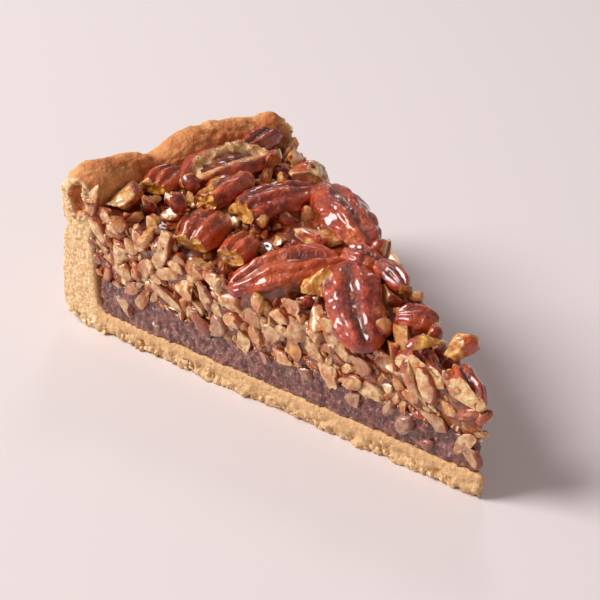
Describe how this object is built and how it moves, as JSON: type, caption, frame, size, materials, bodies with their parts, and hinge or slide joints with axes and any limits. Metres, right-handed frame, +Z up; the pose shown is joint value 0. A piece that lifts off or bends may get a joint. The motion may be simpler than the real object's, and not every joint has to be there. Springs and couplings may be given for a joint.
{
  "type": "slice of pecan pie",
  "caption": "Cut wedge of pecan pie: shortcrust base and wavy rim, dark custard, chopped nuts in syrup and glazed nuts on top.",
  "frame": {"origin": "middle of the bounding box, on the surface the slice stands on", "axes": "+X from the rim towards the slice's tip, +Y towards the back cut face, +Z up"},
  "size_m": [0.1154, 0.0624, 0.0407],
  "materials": {
    "shortcrust": "baked pale golden shortcrust, browned at the rim",
    "custard": "moist dark purple-brown custard",
    "chopped_nuts": "chopped nuts bound with syrup",
    "glazed_nut": "pecan skin under clear syrup",
    "broken_nut": "broken pecan flesh soaked with syrup"
  },
  "bodies": {
    "root": {"crust": "shortcrust", "custard": "custard", "nut_amber": "broken_nut", "nut_back_half": "glazed_nut", "nut_broad": "glazed_nut", "nut_curved_half": "glazed_nut", "nut_cut_end": "glazed_nut", "nut_dark_broken": "glazed_nut", "nut_drooping_half": "glazed_nut", "nut_edge_broken": "broken_nut", "nut_edge_dark": "glazed_nut", "nut_edge_red": "glazed_nut", "nut_hollow_half": "glazed_nut", "nut_layer": "chopped_nuts", "nut_long_half": "glazed_nut", "nut_red_end": "glazed_nut", "nut_rim": "glazed_nut", "nut_round_end": "glazed_nut", "nut_slab": "broken_nut", "nut_thin_amber": "broken_nut", "nut_three_sided": "glazed_nut", "nut_tip_large": "glazed_nut", "nut_tip_small": "glazed_nut", "nut_upright": "broken_nut"}
  },
  "joints": []
}
